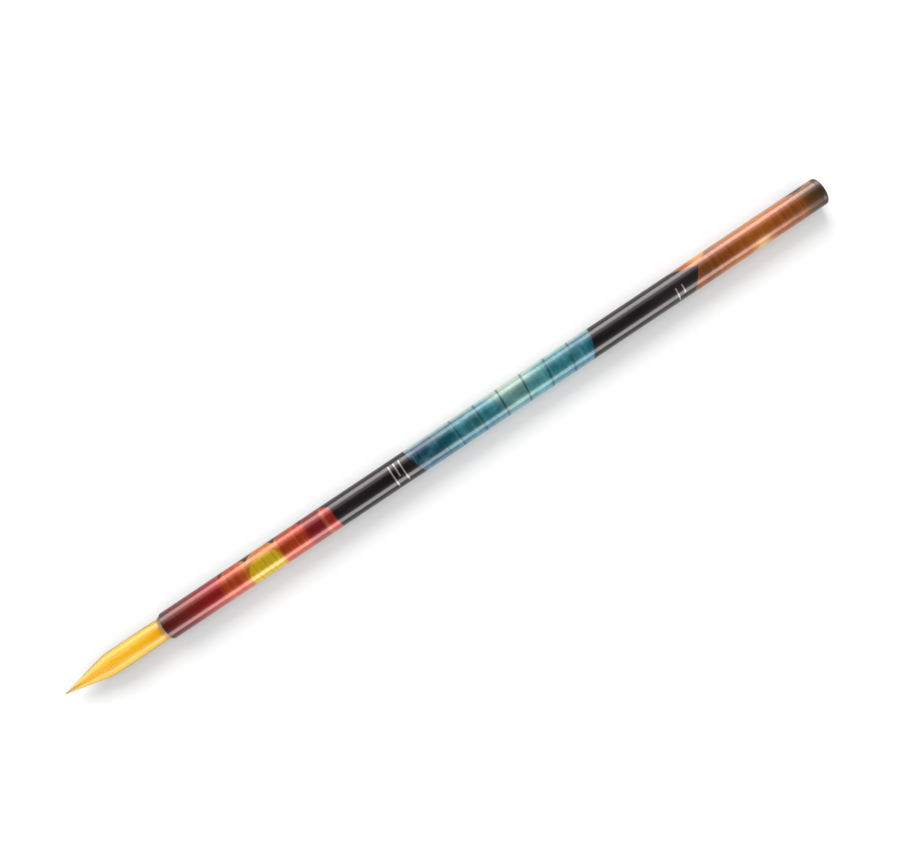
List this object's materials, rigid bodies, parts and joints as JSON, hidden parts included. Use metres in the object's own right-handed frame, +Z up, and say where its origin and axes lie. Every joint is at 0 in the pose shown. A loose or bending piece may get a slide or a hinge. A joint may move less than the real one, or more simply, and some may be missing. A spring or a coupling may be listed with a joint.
{
  "type": "fine detail brush",
  "caption": "Slim round paint brush with a golden pointed filament tuft set in a straight tubular handle with an abstract colour-banded print.",
  "frame": {"origin": "under the middle of the brush's length, on the surface that it lies on, straight below the brush axis", "axes": "+X along the brush axis towards the point of the tuft, +Z up, +Y to the left of the tuft's direction; the axis is one handle radius above the origin"},
  "size_m": [0.1838, 0.006, 0.006],
  "materials": {
    "black_anodised": "satin",
    "printed_film": "gloss",
    "ferrule_metal": "satin",
    "olive_plug": "gloss",
    "golden_filament": "silky",
    "thread": "matte",
    "amber_resin": "gloss"
  },
  "bodies": {
    "root": {"handle_tube": "black_anodised", "printed_sleeve": "printed_film", "rear_plug": "olive_plug", "ferrule": "ferrule_metal", "ferrule_bond": "amber_resin", "cover_filaments": "golden_filament", "belly_filaments": "golden_filament", "point_filaments": "golden_filament", "root_thread": "thread", "root_resin": "amber_resin"}
  },
  "joints": []
}
